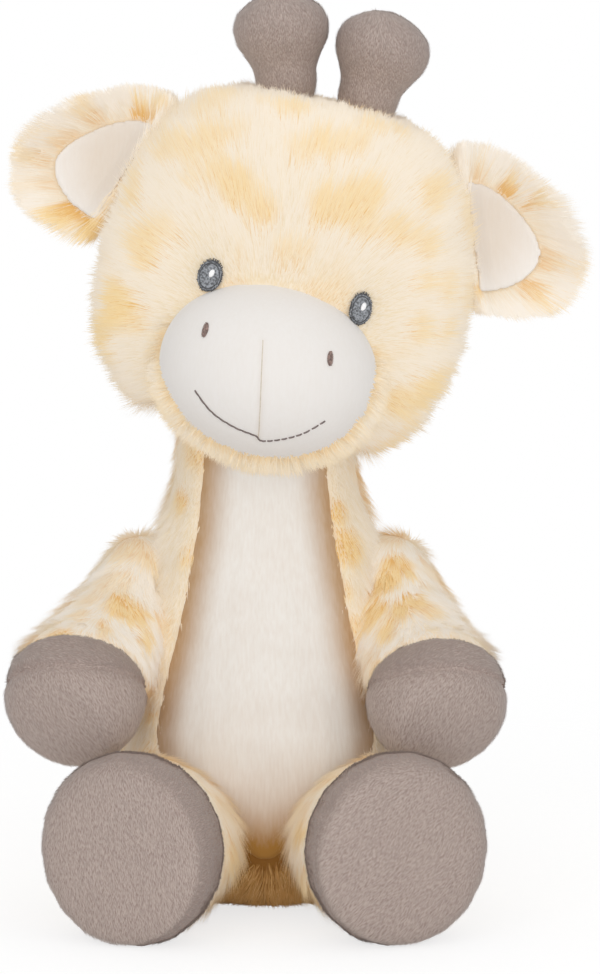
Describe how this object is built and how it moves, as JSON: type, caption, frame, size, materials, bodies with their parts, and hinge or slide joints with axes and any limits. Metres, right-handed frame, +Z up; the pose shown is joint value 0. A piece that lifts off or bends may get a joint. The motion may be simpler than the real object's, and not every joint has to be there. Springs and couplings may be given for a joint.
{
  "type": "plush giraffe toy",
  "caption": "Sitting plush giraffe toy with a leaning round head, sewn ears and ossicones, velour muzzle and belly, and plush hooves.",
  "frame": {"origin": "middle of the flat seat under the torso, on the surface that the toy sits on", "axes": "+Z up, -Y the way the toy faces, +X to the toy's own left"},
  "size_m": [0.1834, 0.1485, 0.2984],
  "materials": {
    "fur": "long fur, cream with soft peach-yellow patches",
    "muzzle_velour": "short velour, off-white",
    "belly_velour": "short velour, cream",
    "plush": "short plush pile, taupe",
    "eye_thread": "satin stitch, dark grey",
    "white_thread": "satin stitch, white",
    "brown_thread": "satin stitch, grey-brown",
    "stuffing": "polyester fibre filling, white",
    "bead_cloth": "woven cotton over plastic beads, off-white"
  },
  "bodies": {
    "torso": {"torso_fur": "fur", "belly_panel": "belly_velour", "torso_stuffing": "stuffing", "bead_pouch": "bead_cloth"},
    "neck": {"neck_stuffing": "stuffing"},
    "head": {"head_fur": "fur", "muzzle_panel": "muzzle_velour", "head_stuffing": "stuffing", "mouth_stitch": "brown_thread", "eye_left": "eye_thread", "eye_right": "eye_thread", "eye_highlight_left": "white_thread", "eye_highlight_right": "white_thread", "nostril_left": "brown_thread", "nostril_right": "brown_thread"},
    "ear_left": {"ear_back_left": "fur", "ear_lining_left": "muzzle_velour"},
    "ossicone_left": {"ossicone_skin_left": "plush", "ossicone_stuffing_left": "stuffing"},
    "arm_left": {"arm_fur_left": "fur", "arm_hoof_left": "plush", "arm_hoof_pad_left": "plush", "arm_stuffing_left": "stuffing"},
    "leg_left": {"leg_fur_left": "fur", "leg_hoof_left": "plush", "leg_sole_left": "plush", "leg_stuffing_left": "stuffing"},
    "ear_right": {"ear_back_right": "fur", "ear_lining_right": "muzzle_velour"},
    "ossicone_right": {"ossicone_skin_right": "plush", "ossicone_stuffing_right": "stuffing"},
    "arm_right": {"arm_fur_right": "fur", "arm_hoof_right": "plush", "arm_hoof_pad_right": "plush", "arm_stuffing_right": "stuffing"},
    "leg_right": {"leg_fur_right": "fur", "leg_hoof_right": "plush", "leg_sole_right": "plush", "leg_stuffing_right": "stuffing"},
    "tail": {"tail": "fur", "tail_tuft": "plush"}
  },
  "joints": [
    {"name": "head_tilt", "type": "hinge", "parent": "torso", "child": "neck", "pos_m": [0, 0, 0.17631], "axis": [0, 1, 0], "range_deg": [-28.5, 3.5], "stiffness_Nm_per_rad": 0.25},
    {"name": "head_nod", "type": "hinge", "parent": "neck", "child": "head", "pos_m": [0, 0, 0.17631], "axis": [0.9763, 0, -0.2164], "range_deg": [-10, 10], "stiffness_Nm_per_rad": 0.25},
    {"name": "ear_left_turn", "type": "hinge", "parent": "head", "child": "ear_left", "pos_m": [0.0679, 0.004, 0.22118], "axis": [-0.1305, 0, 0.9914], "range_deg": [-25, 25], "stiffness_Nm_per_rad": 0.02},
    {"name": "ear_right_turn", "type": "hinge", "parent": "head", "child": "ear_right", "pos_m": [-0.04486, 0.004, 0.24208], "axis": [0.5373, 0, 0.8434], "range_deg": [-25, 25], "stiffness_Nm_per_rad": 0.02},
    {"name": "ossicone_left_lean", "type": "hinge", "parent": "head", "child": "ossicone_left", "pos_m": [0.0332, -0.002, 0.2637], "axis": [0.9588, 0, -0.284], "range_deg": [-15, 15], "stiffness_Nm_per_rad": 0.05},
    {"name": "ossicone_right_lean", "type": "hinge", "parent": "head", "child": "ossicone_right", "pos_m": [0.00684, -0.002, 0.26954], "axis": [0.9954, 0, 0.0958], "range_deg": [-15, 15], "stiffness_Nm_per_rad": 0.05},
    {"name": "arm_left_lift", "type": "hinge", "parent": "torso", "child": "arm_left", "pos_m": [0.03726, 0, 0.106], "axis": [-0.9806, 0, -0.196], "range_deg": [0, 45]},
    {"name": "arm_right_lift", "type": "hinge", "parent": "torso", "child": "arm_right", "pos_m": [-0.03726, 0, 0.106], "axis": [-0.9806, 0, 0.196], "range_deg": [0, 45]},
    {"name": "leg_left_drop", "type": "hinge", "parent": "torso", "child": "leg_left", "pos_m": [0.03344, -0.04142, 0.014], "axis": [0.9511, 0.309, 0], "range_deg": [0, 75]},
    {"name": "leg_right_drop", "type": "hinge", "parent": "torso", "child": "leg_right", "pos_m": [-0.03344, -0.04142, 0.014], "axis": [0.9511, -0.309, 0], "range_deg": [0, 75]},
    {"name": "tail_lift", "type": "hinge", "parent": "torso", "child": "tail", "pos_m": [0, 0.04657, 0.054], "axis": [1, 0, 0], "range_deg": [-8, 60], "stiffness_Nm_per_rad": 0.01}
  ]
}
